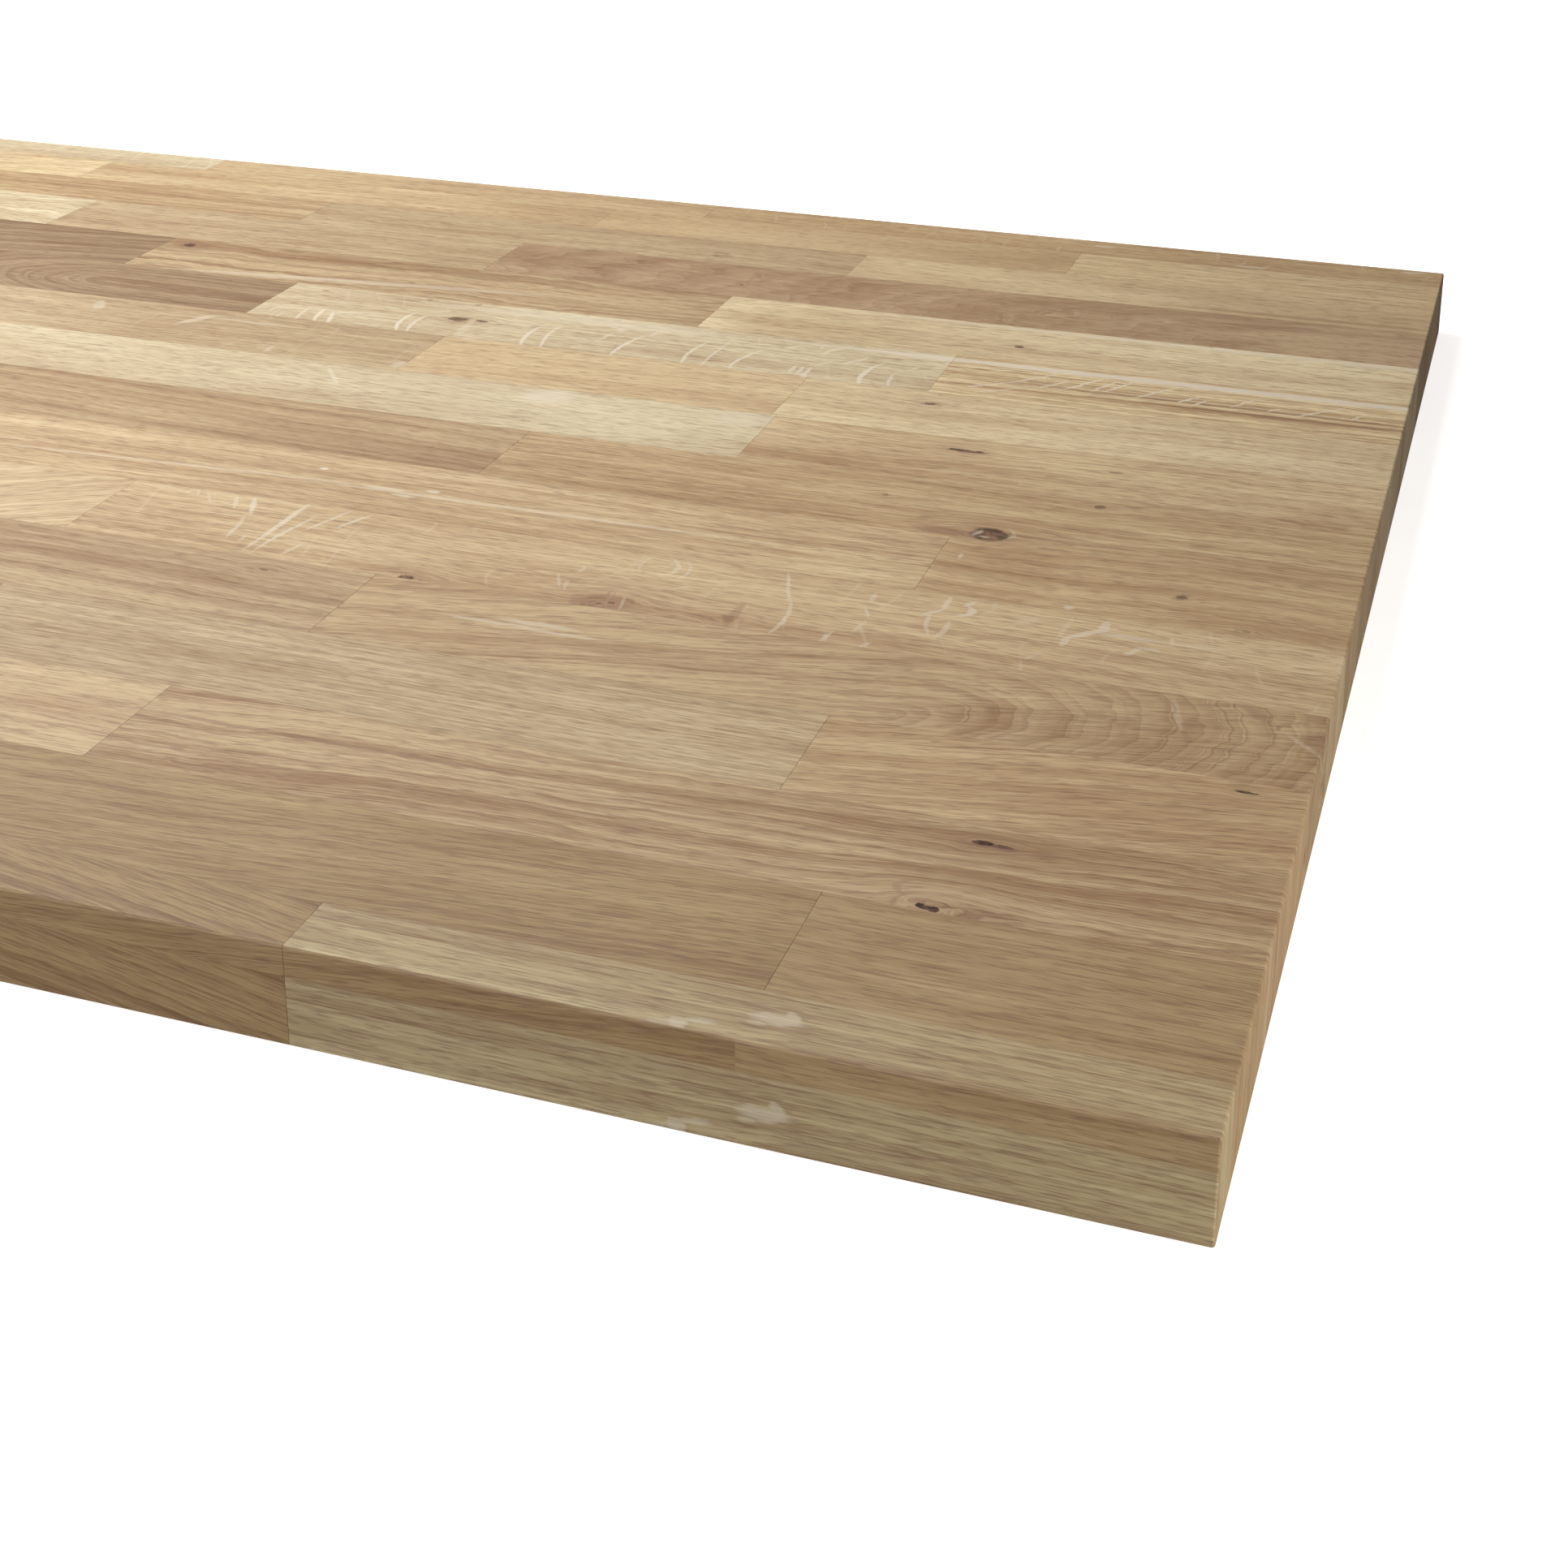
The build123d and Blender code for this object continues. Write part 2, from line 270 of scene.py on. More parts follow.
         (268.0, 24.0, 4.0, 0.8, 0.0, 0.0, -0.35)],
    14: [(45.0, 5.0, 55.0, 1.6, 0.0, 0.0, -0.4)],
    16: [(152.0, 14.0, 5.0, 1.2, -1.5, 0.0, 0.45), (83.0, 3.4, 6.0, 1.0, -1.5, 0.0, 0.45),
         (13.0, 18.0, 4.0, 1.6, -1.5, 0.0, 0.5)],
}

# Lighter and darker areas of a stave, written like the marks. The last number is added to how
# light the wood is, from 0 for its dark shade to 1 for its pale one.
oakAreas = {
    1: [(90.0, 15.5, 50.0, 4.5, 0.0, 0.0, 0.1)],
    3: [(30.0, 20.0, 62.0, 26.0, 0.0, 0.0, -0.14), (68.0, 3.0, 10.0, 4.0, 0.0, 0.0, -0.3)],
    5: [(75.0, 10.0, 42.0, 12.0, 0.0, 0.0, -0.18), (150.0, 34.0, 62.0, 12.0, 0.0, 0.0, 0.1),
        (245.0, 22.0, 80.0, 26.0, 0.0, 0.0, 0.08), (14.0, 22.0, 34.0, 26.0, 0.0, 0.0, -0.12)],
    6: [(70.0, 34.0, 95.0, 12.0, 0.0, 0.0, 0.24), (210.0, 37.0, 140.0, 11.0, 0.0, 0.0, 0.14),
        (330.0, 33.0, 90.0, 12.0, 0.0, 0.0, 0.1), (215.0, 6.0, 90.0, 11.0, 0.0, 0.0, -0.18)],
    7: [(112.0, 22.0, 17.0, 26.0, 0.0, 0.0, -0.16), (157.0, 22.0, 18.0, 26.0, 0.0, 0.0, 0.13)],
    8: [(150.0, 35.0, 175.0, 11.0, 0.0, 0.0, 0.13), (150.0, 9.0, 175.0, 13.0, 0.0, 0.0, -0.2)],
    9: [(60.0, 34.0, 74.0, 12.0, 0.0, 0.0, 0.2), (262.0, 33.0, 44.0, 12.0, 0.0, 0.0, 0.18),
        (165.0, 10.0, 60.0, 12.0, 0.0, 0.0, -0.14)],
    11: [(90.0, 30.0, 90.0, 9.0, 0.0, 0.0, 0.18), (80.0, 6.5, 92.0, 8.0, 0.0, 0.0, -0.2),
         (152.0, 8.0, 30.0, 9.0, 0.0, 0.0, -0.26), (152.0, 35.0, 32.0, 9.0, 0.0, 0.0, 0.28),
         (430.0, 12.0, 52.0, 14.0, 0.0, 0.0, -0.24),
         (335.0, 33.0, 60.0, 12.0, 0.0, 0.0, 0.12)],
    12: [(60.0, 22.0, 90.0, 26.0, 0.0, 0.0, 0.1), (70.0, 33.0, 100.0, 10.0, 0.0, 0.0, 0.3),
         (345.0, 11.0, 60.0, 12.0, 0.0, 0.0, 0.34), (245.0, 14.0, 40.0, 20.0, 0.0, 0.0, -0.22),
         (450.0, 33.0, 60.0, 11.0, 0.0, 0.0, -0.25),
         (450.0, 11.0, 66.0, 12.0, 0.0, 0.0, 0.16)],
    13: [(14.0, 16.0, 46.0, 22.0, 0.0, 0.0, 0.45), (330.0, 22.0, 90.0, 26.0, 0.0, 0.0, -0.1)],
}

hiddenTones = ["brown", "hazel", "tan", "sand", "warm", "buff", "buff", "honey", "gold", "cream"]
hiddenCuts = ["plain", "plain", "striped", "striped", "arched", "rayed", "wild", "slanted"]
hiddenSeed = 101  # times the row's number, for the choice of its hidden staves

# Patterns in the wood: size along and across the grain in millimetres, how many finer steps
# each has, and how strong those are. Those of the face lie as the stave does, and those of the
# grain follow its bends.
facePatterns = {
    "drift": (150.0, 80.0, 1.0, 0.5),  # how the grain wanders
    "cloud": (120.0, 20.0, 2.0, 0.5),  # how the tone changes over the stave
    "ripple": (26.0, 13.0, 2.0, 0.6),  # how wavy the year rings are
    "ragged": (4.5, 3.0, 3.0, 0.6),  # how uneven the outlines of knots and marks are
    "rayBend": (90.0, 50.0, 1.0, 0.5),  # how the rays curve
    "rayPatch": (24.0, 24.0, 1.0, 0.5),  # where the rays show
}
grainPatterns = {
    "streaks": (160.0, 2.6, 1.0, 0.5),
    "fibres": (24.0, 0.7, 2.0, 0.75),  # bundles of them, as single ones are too fine to show
    "pores": (7.0, 0.5, 1.0, 0.5),  # rows of open pores, dark dashes
}
woodColours = {"pore": "6a4a3a", "mark": "d3c8b4", "stain": "7c5a46", "glueLine": "6b543c",
               "knotDark": "24161a", "knotLight": "7a5d4e"}

# How the wood shows. Sizes are in millimetres, and a fade runs from where it starts to where it
# is full.
oakLook = {
    "sideOn": 0.7,  # how squarely a face looks along an axis to count as an end or an edge
    "backFold": 0.75,  # how far forwards the back edge takes its figure, for each mm down
    "staveSeed": 41.0, "underSeed": 7.3, "seedStep": 5.7,  # keep the staves' patterns apart
    "ringWaver": 0.4,  # how much of the grain's wander the rings take up
    "leastDepth": 1.5,  # of the pith, which rounds the tips of the arches
    "ringRun": 420.0,  # how far a ring keeps its strength along the grain
    "ringDetail": 3.0, "ringRoughness": 0.65,
    "bandFade": {"From Min": 0.32, "From Max": 0.68},
    "earlyShift": 3.2, "earlyPower": 4.0,  # a thin dark line of early wood in each ring
    "poreFade": {"From Min": 0.54, "From Max": 0.66, "To Max": 0.42}, "poresInEarly": 0.10,
    "raySpacing": 13.0, "rayBend": 45.0, "rayFade": {"From Min": 0.065, "From Max": 0.02},
    "rayPatchFade": {"From Min": 0.50, "From Max": 0.60},
    "edgeRough": (2.0, 1.6, 0.0),  # how ragged knots and marks are, along and across
    "markFade": {"From Min": 2.0, "From Max": 0.3},
    "knotRough": 1.6,  # more of it for knots, shared out over their radius
    "knotFade": {"From Min": 1.2, "From Max": 0.8},
    "knotMottle": {"From Min": 0.40, "From Max": 0.66},
    "bendLength": 1.7, "bendFall": -1.4, "bendPush": -0.9,  # how the grain parts at a knot
    "knotStain": 0.3,
    "glueFrom": 0.35, "glueFull": 0.05, "glueShade": 0.16,  # in from the row's edge
    "reliefSize": (26.0, 0.5), "reliefHeight": 0.05, "reliefStrength": 0.2,  # raised fibres
    "roughness": {"From Min": 0.3, "From Max": 0.7, "To Min": 0.57, "To Max": 0.48}, "ior": 1.47,
    "specular": 0.5, "dryKnot": -0.45,  # knots crack and take no oil, so they shine less
}
# How light plain wood is, from 0 for a stave's dark shade to 1 for its pale one, and for each
# pattern its middle and how far it moves that
plainLevel = 0.52
levelShares = {"bands": (0.5, 0.6), "early": (0.2, -0.3), "streaks": (0.5, 0.4),
               "fibres": (0.5, 1.9), "cloud": (0.5, 0.9)}
# Colour ramps hold a stave's values as shares of these ranges: the low end and the span
valueRanges = {"pithAcross": (-100, 200), "pithDepth": (0, 100), "climb": (-1, 2),
               "apex": (0, 2000), "ring": (0, 20), "wave": (0, 40), "slant": (-0.5, 1)}
apexStep = 250  # between the arches of staves whose apex isn't given
jointGap = 0.2  # corners nearer together than this face each other across a butt joint
endZone = 5.0  # the eased ends have corners of their own, this near to them


def buttJoints(row):
    # where the row's staves meet, in mm from the right-hand end, read off the CAD node
    node = bpy.data.objects[rowNames[row - 1]]
    across = sorted({round(vertex.co.x * 1000, 2) for vertex in node.data.vertices})
    half = lengthMm / 2
    pairs = [(a, b) for a, b in zip(across, across[1:])
             if b - a < jointGap and abs(a) < half - endZone]
    return sorted(half - (a + b) / 2 for a, b in pairs)


def rowStaves(row, count):
    # the look of each stave: the known ones first, then a seeded choice for the rest
    chance = random.Random(row * hiddenSeed)
    staves = []
    for place in range(count):
        if place < len(knownStaves[row]):
            tone, cut, changes = knownStaves[row][place]
        else:
            tone, cut, changes = chance.choice(hiddenTones), chance.choice(hiddenCuts), {}
        staves.append({"tone": oakTones[tone], "apex": apexStep * place, **oakCuts[cut], **changes})
    return staves


def asShare(name, value):
    # a stave's value as a ramp holds it
    low, span = valueRanges[name]
    return (value - low) / span


def staveValues(tree, along, row):
    # looks up the values of the stave that a point lies in: each joint passed adds one to the
    # stave's place in its row, and colour ramps in steps hold what the places stand for
    joints = buttJoints(row)
    place = 0.5  # keeps each stave in the middle of its step
    for joint in joints:
        passed = addNode(tree, "Math", [along, joint], operation="GREATER_THAN")
        place = addNode(tree, "Math", [place, passed], operation="ADD")
    count = len(joints) + 1
    share = addNode(tree, "Math", [place, count], operation="DIVIDE")
    staves = rowStaves(row, count)
    packed = {
        "tone": [(*hexColour(s["tone"])[:3], s["rays"]) for s in staves],
        "cut": [(asShare("pithAcross", s["pith"][0]), asShare("pithDepth", s["pith"][1]),
                 asShare("climb", s["climb"]), asShare("apex", s["apex"])) for s in staves],
        "grain": [(asShare("ring", s["ring"]), s["figure"], s["fibre"], asShare("wave", s["wave"]))
                  for s in staves],
        "lie": [(asShare("slant", s["slant"]), at / count, 0, 1) for at, s in enumerate(staves)],
    }
    values = {}
    for name, stops in packed.items():
        ramp = addNode(tree, "ValToRGB", [share]).node
        ramp.color_ramp.interpolation = "CONSTANT"
        elements = ramp.color_ramp.elements
        elements[0].position, elements[0].color = 0.0, stops[0]
        elements.remove(elements[1])
        for at, stop in enumerate(stops[1:], start=1):
            elements.new(at / count).color = stop
        values[name] = ramp.outputs["Color"]
        values[name + "Alpha"] = ramp.outputs["Alpha"]
    return values


def layPatterns(tree, point, patterns):
    # noise for each pattern of a table, stretched to its size
    laid = {}
    for name, (lengthwise, crosswise, detail, roughness) in patterns.items():
        stretched = addNode(tree, "VectorMath", [point, (1 / lengthwise, 1 / crosswise, 1)],
                            operation="MULTIPLY")
        laid[name] = addNode(tree, "TexNoise", {"Vector": stretched, "Scale": 1.0,
                                                "Detail": detail, "Roughness": roughness})
    return laid


def bendAtKnots(tree, place, uneven, lie, knots):
    # bends the grain around each knot, and says how far a point is knot or is stained by one
    core, stain = 0.0, 0.0
    for alongKnot, acrossKnot, radius, longer, dark, reach in knots:
        offset = addNode(tree, "VectorMath", [place, (alongKnot, acrossKnot, 0)],
                         operation="SUBTRACT")
        scaled = addNode(tree, "VectorMath", [offset, (1 / (radius * longer), 1 / radius, 0)],
                         operation="MULTIPLY")
        away = addNode(tree, "VectorMath", [scaled], operation="LENGTH").node.outputs["Value"]
        away = addNode(tree, "Math", [uneven, oakLook["knotRough"] / max(radius, 1), away],
                       operation="MULTIPLY_ADD")
        inside = addNode(tree, "MapRange", {"Value": away, **oakLook["knotFade"], "To Max": dark},
                         interpolation_type="SMOOTHSTEP")
        core = addNode(tree, "Math", [inside, core], operation="MAXIMUM")
        stretch = (1 / (reach * oakLook["bendLength"]), 1 / reach, 0)
        scaled = addNode(tree, "VectorMath", [offset, stretch], operation="MULTIPLY")
        squared = addNode(tree, "VectorMath", [scaled, scaled], operation="DOT_PRODUCT")
        near = addNode(tree, "Math", [squared.node.outputs["Value"], oakLook["bendFall"]],
                       operation="MULTIPLY")
        near = addNode(tree, "Math", [near], operation="EXPONENT")
        offsetAcross = addNode(tree, "SeparateXYZ", [offset]).node.outputs["Y"]
        push = addNode(tree, "Math", [offsetAcross, near], operation="MULTIPLY")
        lie = addNode(tree, "Math", [push, oakLook["bendPush"], lie], operation="MULTIPLY_ADD")
        around = addNode(tree, "Math", [near, oakLook["knotStain"] * dark], operation="MULTIPLY")
        stain = addNode(tree, "Math", [around, stain], operation="MAXIMUM")
    return lie, core, stain


def shadeOfMarks(tree, place, marks):
    # how pale and how dark the marks make a point
    shades = {"pale": 0.0, "dark": 0.0}
    for alongMark, acrossMark, halfAlong, halfAcross, lean, bow, strength in marks:
        offset = addNode(tree, "VectorMath", [place, (alongMark, acrossMark, 0)],
                         operation="SUBTRACT")
        beside = addNode(tree, "VectorMath", [offset, (1 / halfAlong, -lean / halfAlong, 0)],
                         operation="DOT_PRODUCT").node.outputs["Value"]
        ahead = addNode(tree, "VectorMath", [offset, (0, 1 / halfAcross, 0)],
                        operation="DOT_PRODUCT").node.outputs["Value"]
        ahead = addNode(tree, "Math", [ahead, ahead], operation="MULTIPLY")
        if bow:
            beside = addNode(tree, "Math", [ahead, -bow / halfAlong, beside],
                             operation="MULTIPLY_ADD")
        beside = addNode(tree, "Math", [beside, beside], operation="MULTIPLY")
        away = addNode(tree, "Math", [beside, ahead], operation="ADD")
        amount = addNode(tree, "MapRange", {"Value": away, **oakLook["markFade"],
                                            "To Max": abs(strength)},
                         interpolation_type="SMOOTHSTEP")
        shade = "pale" if strength > 0 else "dark"
        shades[shade] = addNode(tree, "Math", [amount, shades[shade]], operation="MAXIMUM")
    return shades["pale"], shades["dark"]


def oiledOakStaves(row, bandRow=None):
    # one row's oak; bandRow is the row behind, whose figure shows again on the upper part of
    # the front edge, as it does on the photographed top
    material = bpy.data.materials.new(f"oiledOakStaves{row:02d}")
    material.use_nodes = True
    tree = material.node_tree
    tree.nodes.clear()
    paint = {name: hexColour(code) for name, code in woodColours.items()}
    rowLow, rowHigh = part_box(rowNames[row - 1])
    rowFront = (rowLow[1] - partLow.y) * 1000
    rowWidth = (rowHigh[1] - rowLow[1]) * 1000

    # place in millimetres: along from the right-hand end, across from the row's front edge, up
    place = addNode(tree, "TexCoord").node.outputs["Object"]
    fromCorner = (lengthMm / 2, depthMm / 2 - rowFront, 0)
    shifted = addNode(tree, "VectorMath", [place, (-1000, 1000, 1000), fromCorner],
                      operation="MULTIPLY_ADD")
    alongTop, inRowTop, up = addNode(tree, "SeparateXYZ", [shifted]).node.outputs
    below = addNode(tree, "Math", [thickMm, up], operation="SUBTRACT")
    normal = addNode(tree, "NewGeometry").node.outputs["Normal"]
    sideX, sideY, sideZ = addNode(tree, "SeparateXYZ", [normal]).node.outputs
    sideOn = oakLook["sideOn"]
    onRight = addNode(tree, "Math", [sideX, sideOn], operation="GREATER_THAN")
    onLeft = addNode(tree, "Math", [sideX, -sideOn], operation="LESS_THAN")
    onFront = addNode(tree, "Math", [sideY, -sideOn], operation="LESS_THAN")
    onBack = addNode(tree, "Math", [sideY, sideOn], operation="GREATER_THAN")
    onUnder = addNode(tree, "Math", [sideZ, -sideOn], operation="LESS_THAN")

    # the figure of the top is folded down over the ends and the back edge, and the front edge
    # shows the top's front strip again
    endTurn = addNode(tree, "Math", [onRight, onLeft], operation="SUBTRACT")
    along = addNode(tree, "Math", [endTurn, below, alongTop], operation="MULTIPLY_ADD")
    inRow = addNode(tree, "Math", [onFront, up, inRowTop], operation="MULTIPLY_ADD")
    downBack = addNode(tree, "Math", [below, -oakLook["backFold"]], operation="MULTIPLY")
    inRow = addNode(tree, "Math", [onBack, downBack, inRow], operation="MULTIPLY_ADD")

    values = staveValues(tree, along, row)
    seedRow, markAlong = float(row), along
    if bandRow:
        onBand = addNode(tree, "Math", [inRow, rowWidth], operation="GREATER_THAN")
        for name, bandValue in staveValues(tree, along, bandRow).items():
            kind = "FLOAT" if name.endswith("Alpha") else "RGBA"
            values[name] = addNode(tree, "Mix", [onBand, values[name], bandValue],
                                   data_type=kind)
        inRow = addNode(tree, "Math", [onBand, -rowWidth, inRow], operation="MULTIPLY_ADD")
        seedRow = addNode(tree, "Math", [onBand, bandRow - row, row], operation="MULTIPLY_ADD")
        markAlong = addNode(tree, "Math", [onBand, 2 * lengthMm, along],
                            operation="MULTIPLY_ADD")  # no mark of this row lies in the band

    tone, rays = values["tone"], values["toneAlpha"]
    pithAcross, pithDepth, climb = addNode(tree, "SeparateColor", [values["cut"]]).node.outputs
    ring, figure, fibre = addNode(tree, "SeparateColor", [values["grain"]]).node.outputs
    slant, stavePlace, _ = addNode(tree, "SeparateColor", [values["lie"]]).node.outputs
    cut = {"pithAcross": pithAcross, "pithDepth": pithDepth, "climb": climb,
           "apex": values["cutAlpha"], "ring": ring, "wave": values["grainAlpha"], "slant": slant}
    for name, share in cut.items():
        low, span = valueRanges[name]
        cut[name] = addNode(tree, "Math", [share, span, low], operation="MULTIPLY_ADD")
    seed = addNode(tree, "Math", [stavePlace, oakLook["staveSeed"], seedRow],
                   operation="MULTIPLY_ADD")
    seed = addNode(tree, "Math", [onUnder, oakLook["underSeed"], seed], operation="MULTIPLY_ADD")
    seed = addNode(tree, "Math", [seed, oakLook["seedStep"]], operation="MULTIPLY")

    # the grain wanders slowly, slopes as the stave was cut, and bends around each knot
    point = addNode(tree, "CombineXYZ", [along, inRow, seed])
    face = layPatterns(tree, point, facePatterns)
    drift = addNode(tree, "Math", [face["drift"], 0.5], operation="SUBTRACT")
    lie = addNode(tree, "Math", [drift, cut["wave"], inRow], operation="MULTIPLY_ADD")
    fromApex = addNode(tree, "Math", [along, cut["apex"]], operation="SUBTRACT")
    lie = addNode(tree, "Math", [fromApex, cut["slant"], lie], operation="MULTIPLY_ADD")
    flat = addNode(tree, "CombineXYZ", [markAlong, inRow, 0.0])
    uneven = addNode(tree, "Math", [face["ragged"], 0.5], operation="SUBTRACT")
    markPlace = addNode(tree, "VectorMath", [uneven, oakLook["edgeRough"], flat],
                        operation="MULTIPLY_ADD")
    lie, knotCore, knotStain = bendAtKnots(tree, markPlace, uneven, lie, oakKnots.get(row, []))

    # year rings, seen where the stave's face cuts them; their early wood is darker
    besidePith = addNode(tree, "Math", [lie, cut["pithAcross"]], operation="SUBTRACT")
    depth = addNode(tree, "Math", [fromApex, cut["climb"], cut["pithDepth"]],
                    operation="MULTIPLY_ADD")
    depth = addNode(tree, "Math", [depth, oakLook["leastDepth"]], operation="MAXIMUM")
    depth = addNode(tree, "Math", [onUnder, thickMm, depth], operation="MULTIPLY_ADD")
    fromPith = addNode(tree, "CombineXYZ", [besidePith, depth, 0.0])
    radius = addNode(tree, "VectorMath", [fromPith], operation="LENGTH").node.outputs["Value"]
    waver = addNode(tree, "Math", [cut["wave"], oakLook["ringWaver"]], operation="MULTIPLY")
    radius = addNode(tree, "Math", [face["cloud"], waver, radius], operation="MULTIPLY_ADD")
    radius = addNode(tree, "Math", [face["ripple"], waver, radius], operation="MULTIPLY_ADD")
    ringPhase = addNode(tree, "Math", [radius, cut["ring"]], operation="DIVIDE")
    ringPoint = addNode(tree, "CombineXYZ", [ringPhase, along, seed])
    ringPoint = addNode(tree, "VectorMath", [ringPoint, (1, 1 / oakLook["ringRun"], 1)],
                        operation="MULTIPLY")
    rings = addNode(tree, "TexNoise", {"Vector": ringPoint, "Scale": 1.0,
                                       "Detail": oakLook["ringDetail"],
                                       "Roughness": oakLook["ringRoughness"]})
    bands = addNode(tree, "MapRange", {"Value": rings, **oakLook["bandFade"]},
                    interpolation_type="SMOOTHSTEP")
    early = addNode(tree, "Math", [rings, oakLook["earlyShift"], ringPhase],
                    operation="MULTIPLY_ADD")
    early = addNode(tree, "Math", [early], operation="FRACT")
    early = addNode(tree, "Math", [early, oakLook["earlyPower"]], operation="POWER")

    # light and dark wood, mixed by the rings, the fibres and slow changes of tone
    grainPoint = addNode(tree, "CombineXYZ", [along, lie, seed])
    grain = layPatterns(tree, grainPoint, grainPatterns)
    level = plainLevel
    for name, pattern, strength in (("bands", bands, figure), ("early", early, figure),
                                    ("streaks", grain["streaks"], fibre),
                                    ("fibres", grain["fibres"], fibre),
                                    ("cloud", face["cloud"], 1.0)):
        middle, weight = levelShares[name]
        centred = addNode(tree, "Math", [pattern, middle], operation="SUBTRACT")
        weighted = addNode(tree, "Math", [centred, weight], operation="MULTIPLY")
        level = addNode(tree, "Math", [weighted, strength, level], operation="MULTIPLY_ADD")
    lighter, darker = shadeOfMarks(tree, markPlace, oakAreas.get(row, []))
    level = addNode(tree, "Math", [level, lighter], operation="ADD")
    level = addNode(tree, "Math", [level, darker], operation="SUBTRACT", use_clamp=True)
    darkWood = addNode(tree, "VectorMath", [tone, woodShade["dark"]], operation="MULTIPLY")
    paleWood = addNode(tree, "VectorMath", [tone, woodShade["pale"]], operation="MULTIPLY")
    wood = addNode(tree, "Mix", [level, darkWood, paleWood], data_type="RGBA")
    pores = addNode(tree, "Math", [early, oakLook["poresInEarly"], grain["pores"]],
                    operation="MULTIPLY_ADD")
    pores = addNode(tree, "MapRange", {"Value": pores, **oakLook["poreFade"]})
    wood = addNode(tree, "Mix", [pores, wood, paint["pore"]], data_type="RGBA")

    # rays: thin pale strokes across the grain, in patches
    if any(s["rays"] for s in rowStaves(row, len(buttJoints(row)) + 1)):
        bent = addNode(tree, "Math", [face["rayBend"], oakLook["rayBend"], along],
                       operation="MULTIPLY_ADD")
        strokes = addNode(tree, "Math", [bent, oakLook["raySpacing"]], operation="DIVIDE")
        strokes = addNode(tree, "Math", [strokes], operation="FRACT")
        strokes = addNode(tree, "Math", [strokes, 0.5], operation="SUBTRACT")
        strokes = addNode(tree, "Math", [strokes], operation="ABSOLUTE")
        strokes = addNode(tree, "MapRange", {"Value": strokes, **oakLook["rayFade"]})
        patches = addNode(tree, "MapRange", {"Value": face["rayPatch"], **oakLook["rayPatchFade"]})
        strokes = addNode(tree, "Math", [strokes, patches], operation="MULTIPLY")
        strokes = addNode(tree, "Math", [strokes, rays], operation="MULTIPLY")
        wood = addNode(tree, "Mix", [strokes, wood, paint["mark"]], data_type="RGBA")

    # dark marks, then knots with the stain around them, then pale marks
    pale, dark = shadeOfMarks(tree, markPlace, oakMarks.get(row, []))
    wood = addNode(tree, "Mix", [dark, wood, paint["stain"]], data_type="RGBA")
    wood = addNode(tree, "Mix", [knotStain, wood, paint["stain"]], data_type="RGBA")
    mottle = addNode(tree, "MapRange", {"Value": face["ragged"], **oakLook["knotMottle"]})
    knotWood = addNode(tree, "Mix", [mottle, paint["knotDark"], paint["knotLight"]],
                       data_type="RGBA")
    wood = addNode(tree, "Mix", [knotCore, wood, knotWood], data_type="RGBA")
    wood = addNode(tree, "Mix", [pale, wood, paint["mark"]], data_type="RGBA")

    # the glue line along both edges of the row shows as a hair of darker wood
    midRow = addNode(tree, "Math", [inRow, rowWidth / 2], operation="SUBTRACT")
    midRow = addNode(tree, "Math", [midRow], operation="ABSOLUTE")
    edgeLine = addNode(tree, "MapRange", {"Value": midRow,
                                          "From Min": rowWidth / 2 - oakLook["glueFrom"],
                                          "From Max": rowWidth / 2 - oakLook["glueFull"],
                                          "To Max": oakLook["glueShade"]})
    wood = addNode(tree, "Mix", [edgeLine, wood, paint["glueLine"]], data_type="RGBA")

    # sanding leaves the fibres standing a few hundredths of a millimetre
    fibreLength, fibreWidth = oakLook["reliefSize"]
    fibreSize = (1000 / fibreLength, 1000 / fibreWidth, 1000 / fibreWidth)
    fibrePlace = addNode(tree, "VectorMath", [place, fibreSize], operation="MULTIPLY")
    fibreRelief = addNode(tree, "TexNoise", {"Vector": fibrePlace, "Scale": 1.0, "Detail": 1.0})
    bump = addNode(tree, "Bump", {"Strength": oakLook["reliefStrength"],
                                  "Distance": oakLook["reliefHeight"] / 1000,
                                  "Height": fibreRelief})
    roughness = addNode(tree, "MapRange", {"Value": grain["fibres"], **oakLook["roughness"]})
    shine = oakLook["specular"]
    if row in oakKnots:  # in a row without knots it is the same all over
        shine = addNode(tree, "Math", [knotCore, oakLook["dryKnot"], shine],
                        operation="MULTIPLY_ADD")
    shader = addNode(tree, "BsdfPrincipled", {"Base Color": wood, "Roughness": roughness,
                                              "IOR": oakLook["ior"],
                                              "Specular IOR Level": shine, "Normal": bump})
    addNode(tree, "OutputMaterial", [shader])
    return material


for row in range(1, rowCount + 1):
    node = bpy.data.objects[rowNames[row - 1]]
    oak = oiledOakStaves(row, bandRow=2 if row == 1 else None)
    for materialSlot in node.material_slots:
        materialSlot.material = oak
print("oak: one material for each of", rowCount, "rows")


# A seamless white acrylic table, matt and lit from below, so that shadows on it are faint
table = {"size": 16.0, "white": "f7f6f4", "roughness": 0.8, "glow": 0.76, "glowColour": "ffffff"}


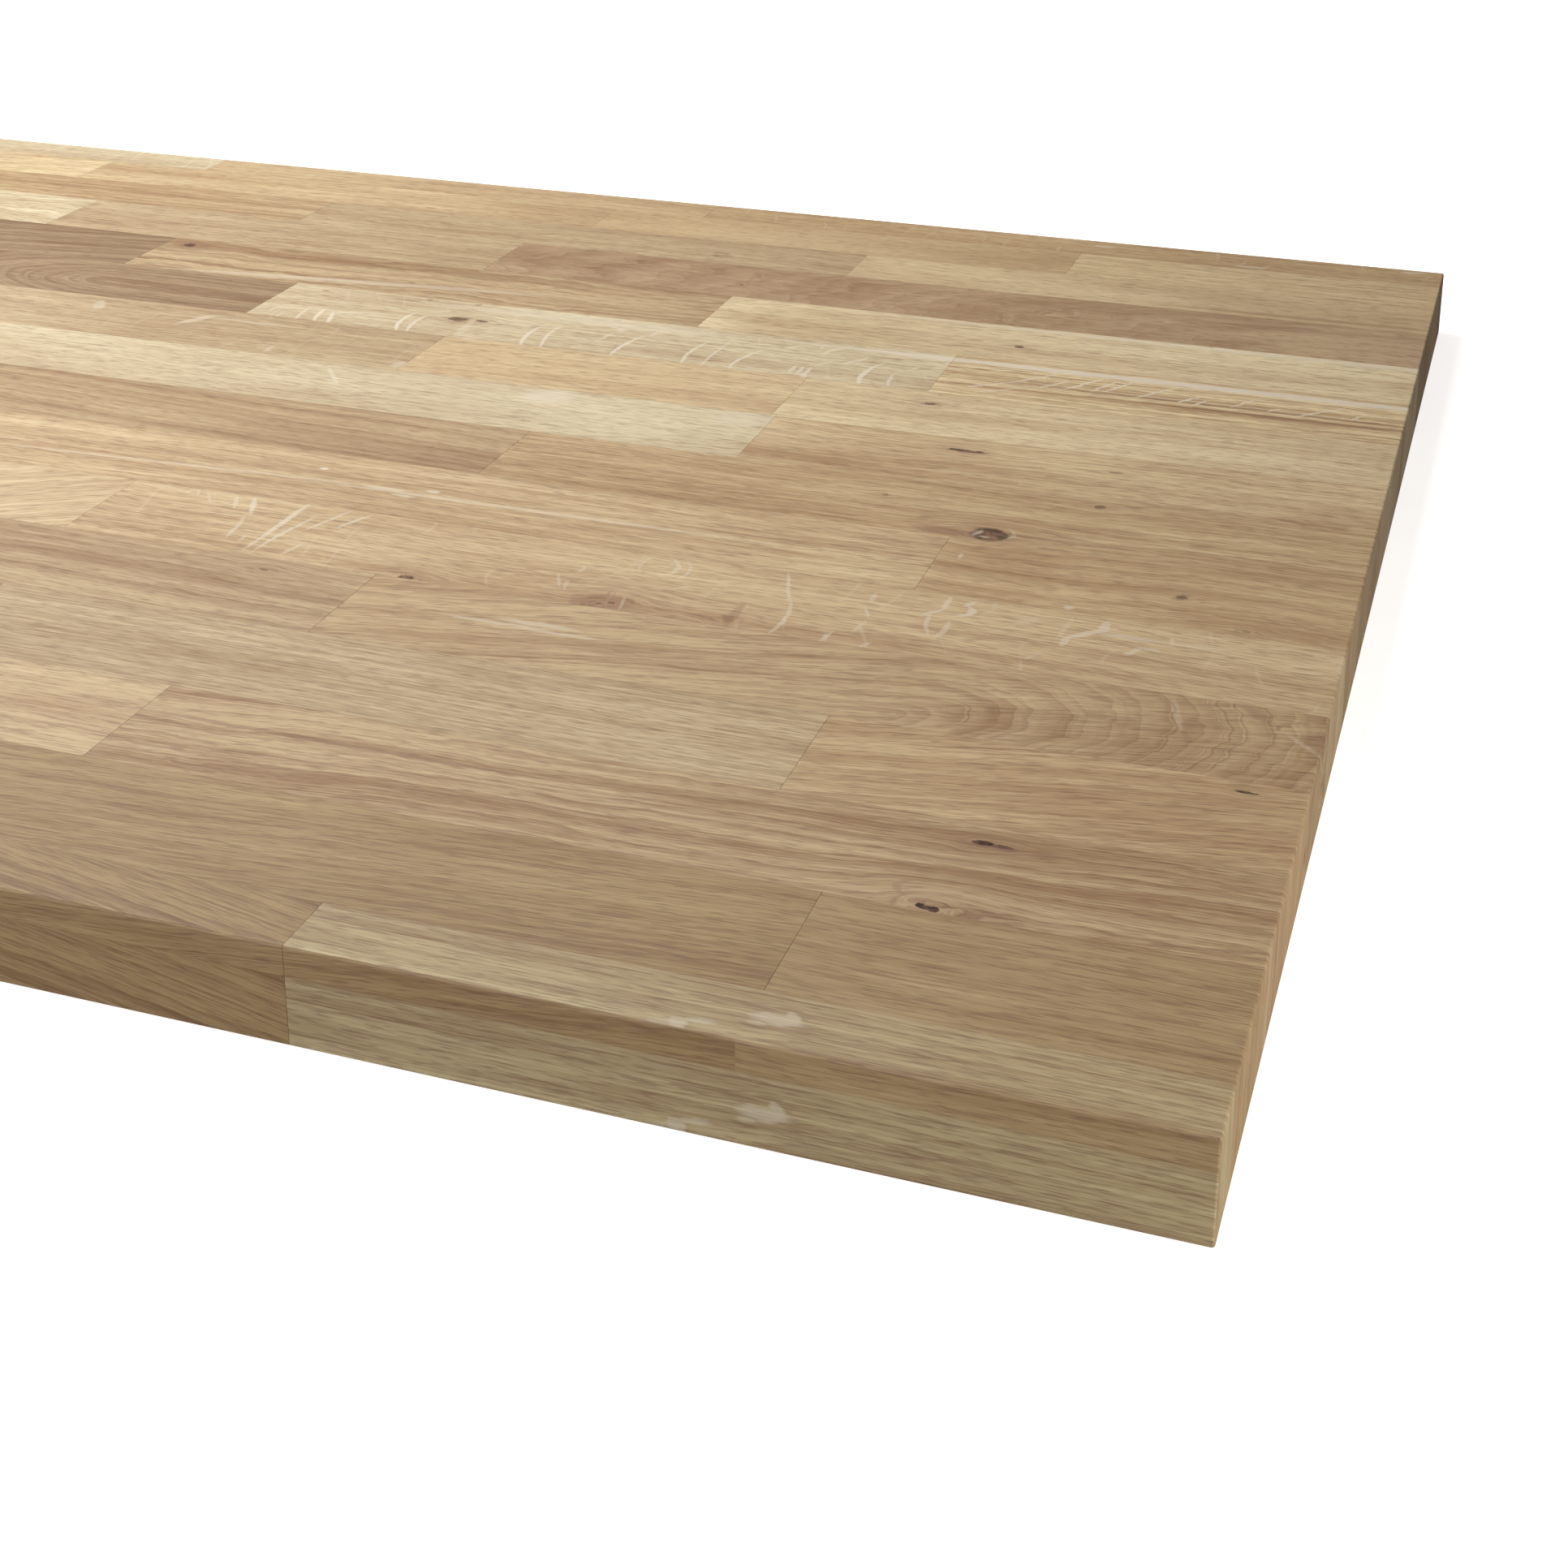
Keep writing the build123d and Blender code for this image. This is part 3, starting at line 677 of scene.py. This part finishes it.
def lightTable():
    sheet = bmesh.new()
    bmesh.ops.create_grid(sheet, x_segments=1, y_segments=1, size=table["size"] / 2)
    mesh = bpy.data.meshes.new("lightTable")
    sheet.to_mesh(mesh)
    sheet.free()
    top = bpy.data.objects.new("lightTable", mesh)
    scene.collection.objects.link(top)
    acrylic = bpy.data.materials.new("whiteAcrylic")
    acrylic.use_nodes = True
    shader = acrylic.node_tree.nodes["Principled BSDF"]
    shader.inputs["Base Color"].default_value = hexColour(table["white"])
    shader.inputs["Roughness"].default_value = table["roughness"]
    shader.inputs["Emission Color"].default_value = hexColour(table["glowColour"])
    shader.inputs["Emission Strength"].default_value = table["glow"]
    mesh.materials.append(acrylic)
    top.location.z = partLow.z
    top.visible_diffuse = False  # its bounce would wash out the shaded end of the top
    top.visible_glossy = False


# Softboxes: place and aim in metres, size, watts, tint, how wide they throw in degrees, and
# whether the wood mirrors them. The two behind would leave a glare across the top.
softboxes = {
    "overhead": {"at": (-0.08, 0.08, 0.85), "aim": (-0.08, 0.08, 0.0), "size": (1.5, 0.9),
                 "watts": 19.0, "tint": "ffffff", "spread": 180, "mirrored": True},
    "rightEnd": {"at": (1.40, -0.36, 0.08), "aim": (0.93, -0.25, 0.014), "size": (0.3, 0.12),
                 "watts": 0.48, "tint": "ffffff", "spread": 70, "mirrored": True},
    "front": {"at": (0.30, -1.50, 0.20), "aim": (0.70, -0.30, 0.0), "size": (1.0, 0.4),
              "watts": 10.5, "tint": "f7fbff", "spread": 180, "mirrored": True},
    "back": {"at": (-0.20, 1.50, 0.10), "aim": (-0.20, 0.30, 0.01), "size": (1.6, 0.15),
             "watts": 6.0, "tint": "ffffff", "spread": 120, "mirrored": False},
    "leftEnd": {"at": (-1.50, 0.0, 0.08), "aim": (-0.93, 0.0, 0.014), "size": (0.5, 0.12),
                "watts": 1.2, "tint": "ffffff", "spread": 100, "mirrored": False},
}
room = {"tint": "fff3e4", "strength": 0.2}


def studioLight():
    for name, box in softboxes.items():
        light = bpy.data.lights.new(name, "AREA")
        light.shape = "RECTANGLE"
        light.size, light.size_y = box["size"]
        light.energy = box["watts"]
        light.color = hexColour(box["tint"])[:3]
        light.spread = math.radians(box["spread"])
        lamp = bpy.data.objects.new(name, light)
        scene.collection.objects.link(lamp)
        lamp.location = box["at"]
        lamp.visible_glossy = box["mirrored"]
        facing = Vector(box["aim"]) - Vector(box["at"])
        lamp.rotation_euler = facing.to_track_quat("-Z", "Y").to_euler()
    world = bpy.data.worlds.new("whiteRoom")
    world.use_nodes = True
    background = world.node_tree.nodes["Background"]
    background.inputs["Color"].default_value = hexColour(room["tint"])
    background.inputs["Strength"].default_value = room["strength"]
    scene.world = world


# The camera stands close, off the right-hand front corner, and looks down to the left. Its
# lens is shifted down, which keeps the slab's corners nearly upright, as in the photograph.
cameraSet = {"at": (0.97770, -0.74324, 0.34904), "down": 18.443, "left": 18.711,
             "lens": 54.913, "shift": -0.30, "sensor": 36.0, "clip": 0.01}


def photoCamera():
    data = bpy.data.cameras.new("photoCamera")
    data.sensor_width = cameraSet["sensor"]
    data.lens = cameraSet["lens"]
    data.shift_y = cameraSet["shift"]
    data.clip_start = cameraSet["clip"]
    camera = bpy.data.objects.new("photoCamera", data)
    scene.collection.objects.link(camera)
    camera.location = cameraSet["at"]
    camera.rotation_euler = (math.radians(90 - cameraSet["down"]), 0.0,
                             math.radians(cameraSet["left"]))
    scene.camera = camera


lightTable()
studioLight()
photoCamera()
scene.view_settings.view_transform = "Standard"
print("table, softboxes and camera set")
